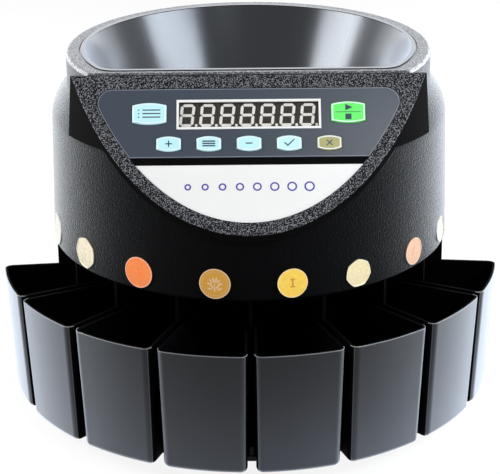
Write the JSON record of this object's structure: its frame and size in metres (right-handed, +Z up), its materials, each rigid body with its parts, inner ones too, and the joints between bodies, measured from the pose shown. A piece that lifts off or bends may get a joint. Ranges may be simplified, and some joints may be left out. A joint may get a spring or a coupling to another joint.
{
  "type": "coin sorting machine",
  "caption": "Desktop coin sorter: round drum with a hopper on top, a sloping display and key panel, and pull-out coin cups fanned round its front.",
  "frame": {"origin": "bottom centre of the whole machine, on the plane its feet stand on", "axes": "+X to the right seen from the front, the cups and the panel face -Y, +Z up along the drum"},
  "size_m": [0.3532, 0.3304, 0.2546],
  "materials": {
    "shell_plastic": "fine moulded grain, black",
    "bowl_plastic": "satin black",
    "cup_plastic": "satin charcoal",
    "bezel_plastic": "coarse moulded grain, black",
    "overlay_film": "slate film",
    "nameplate_film": "white",
    "frame_white": "white",
    "window_clear": "clear",
    "module_dark": "dark brown",
    "segment_pale": "off-white",
    "key_blue": "pale blue",
    "key_green": "green",
    "key_olive": "olive",
    "coin_silver": "worn silver",
    "coin_copper": "copper",
    "coin_brass": "brass",
    "foot_rubber": "matt",
    "steel": "brushed",
    "alloy": "satin",
    "gear_plastic": "natural",
    "board_green": "solder mask",
    "black_fitting": "black",
    "coil_copper": "enamelled wire"
  },
  "bodies": {
    "machine": {"base_plate": "shell_plastic", "rubber_feet": "foot_rubber", "lower_housing": "shell_plastic", "case_screws": "steel", "chute_deck": "shell_plastic", "sorting_plate": "alloy", "track_rail": "steel", "coin_sensors": "black_fitting", "bearing_housing": "alloy", "ball_bearings": "steel", "motor": "steel", "motor_bracket": "steel", "motor_screws": "steel", "main_board": "board_green", "board_standoffs": "gear_plastic", "board_components": "black_fitting", "drum_shell": "shell_plastic", "hopper_bowl": "bowl_plastic", "control_panel": "bezel_plastic", "keypad_overlay": "overlay_film", "nameplate": "nameplate_film", "display_window": "window_clear", "display_frame": "frame_white", "digit_modules": "module_dark", "digit_segments": "segment_pale", "keypad_board": "board_green", "key_switches": "black_fitting", "rear_panel": "black_fitting", "power_inlet": "black_fitting", "inlet_pins": "steel", "switch_frame": "black_fitting", "fuse_holder": "black_fitting", "printer_port": "black_fitting", "transformer_core": "steel", "transformer_coil": "coil_copper", "badges_silver": "coin_silver", "badges_copper": "coin_copper", "badges_brass": "coin_brass"},
    "rotor": {"feed_disc": "black_fitting", "hub_cap": "steel", "drive_shaft": "steel", "drive_gear": "gear_plastic"},
    "pinion": {"motor_pinion": "steel"},
    "cup_1": {"coin_cup_1": "cup_plastic"},
    "cup_2": {"coin_cup_2": "cup_plastic"},
    "cup_3": {"coin_cup_3": "cup_plastic"},
    "cup_4": {"coin_cup_4": "cup_plastic"},
    "cup_5": {"coin_cup_5": "cup_plastic"},
    "cup_6": {"coin_cup_6": "cup_plastic"},
    "cup_7": {"coin_cup_7": "cup_plastic"},
    "cup_8": {"coin_cup_8": "cup_plastic"},
    "key_report_cap": {"key_report": "key_blue"},
    "key_plus_cap": {"key_plus": "key_blue"},
    "key_batch_cap": {"key_batch": "key_blue"},
    "key_minus_cap": {"key_minus": "key_blue"},
    "key_set_cap": {"key_set": "key_blue"},
    "key_clear_cap": {"key_clear": "key_olive"},
    "key_start_stop_cap": {"key_start_stop": "key_green"},
    "rocker": {"switch_rocker": "black_fitting"}
  },
  "joints": [
    {"name": "disc_spin", "type": "hinge", "parent": "machine", "child": "rotor", "pos_m": [0, 0.01317, 0.1266], "axis": [0, 0, 1], "continuous": true},
    {"name": "pinion_spin", "type": "hinge", "parent": "machine", "child": "pinion", "pos_m": [0, 0.06942, 0.082], "axis": [0, 0, 1], "continuous": true},
    {"name": "cup_1_pull", "type": "slide", "parent": "machine", "child": "cup_1", "axis": [-0.9588, -0.284, 0], "range_m": [0, 0.08]},
    {"name": "cup_2_pull", "type": "slide", "parent": "machine", "child": "cup_2", "axis": [-0.7934, -0.6088, 0], "range_m": [0, 0.08]},
    {"name": "cup_3_pull", "type": "slide", "parent": "machine", "child": "cup_3", "axis": [-0.5225, -0.8526, 0], "range_m": [0, 0.08]},
    {"name": "cup_4_pull", "type": "slide", "parent": "machine", "child": "cup_4", "axis": [-0.1822, -0.9833, 0], "range_m": [0, 0.08]},
    {"name": "cup_5_pull", "type": "slide", "parent": "machine", "child": "cup_5", "axis": [0.1822, -0.9833, 0], "range_m": [0, 0.08]},
    {"name": "cup_6_pull", "type": "slide", "parent": "machine", "child": "cup_6", "axis": [0.5225, -0.8526, 0], "range_m": [0, 0.08]},
    {"name": "cup_7_pull", "type": "slide", "parent": "machine", "child": "cup_7", "axis": [0.7934, -0.6088, 0], "range_m": [0, 0.08]},
    {"name": "cup_8_pull", "type": "slide", "parent": "machine", "child": "cup_8", "axis": [0.9588, -0.284, 0], "range_m": [0, 0.08]},
    {"name": "key_report_press", "type": "slide", "parent": "machine", "child": "key_report_cap", "axis": [0, 0.7691, -0.6392], "range_m": [0, 0.0008], "stiffness_N_per_m": 400, "springref_m": -0.0006},
    {"name": "key_plus_press", "type": "slide", "parent": "machine", "child": "key_plus_cap", "axis": [0, 0.7691, -0.6392], "range_m": [0, 0.0008], "stiffness_N_per_m": 400, "springref_m": -0.0006},
    {"name": "key_batch_press", "type": "slide", "parent": "machine", "child": "key_batch_cap", "axis": [0, 0.7691, -0.6392], "range_m": [0, 0.0008], "stiffness_N_per_m": 400, "springref_m": -0.0006},
    {"name": "key_minus_press", "type": "slide", "parent": "machine", "child": "key_minus_cap", "axis": [0, 0.7691, -0.6392], "range_m": [0, 0.0008], "stiffness_N_per_m": 400, "springref_m": -0.0006},
    {"name": "key_set_press", "type": "slide", "parent": "machine", "child": "key_set_cap", "axis": [0, 0.7691, -0.6392], "range_m": [0, 0.0008], "stiffness_N_per_m": 400, "springref_m": -0.0006},
    {"name": "key_clear_press", "type": "slide", "parent": "machine", "child": "key_clear_cap", "axis": [0, 0.7691, -0.6392], "range_m": [0, 0.0008], "stiffness_N_per_m": 400, "springref_m": -0.0006},
    {"name": "key_start_stop_press", "type": "slide", "parent": "machine", "child": "key_start_stop_cap", "axis": [0, 0.7691, -0.6392], "range_m": [0, 0.0008], "stiffness_N_per_m": 400, "springref_m": -0.0006},
    {"name": "switch_rock", "type": "hinge", "parent": "machine", "child": "rocker", "pos_m": [-0.02, 0.15667, 0.0422], "axis": [-1, 0, 0], "range_deg": [0, 16]}
  ],
  "couplings": [
    {"joint": "pinion_spin", "follows": "disc_spin", "ratio": -4}
  ]
}
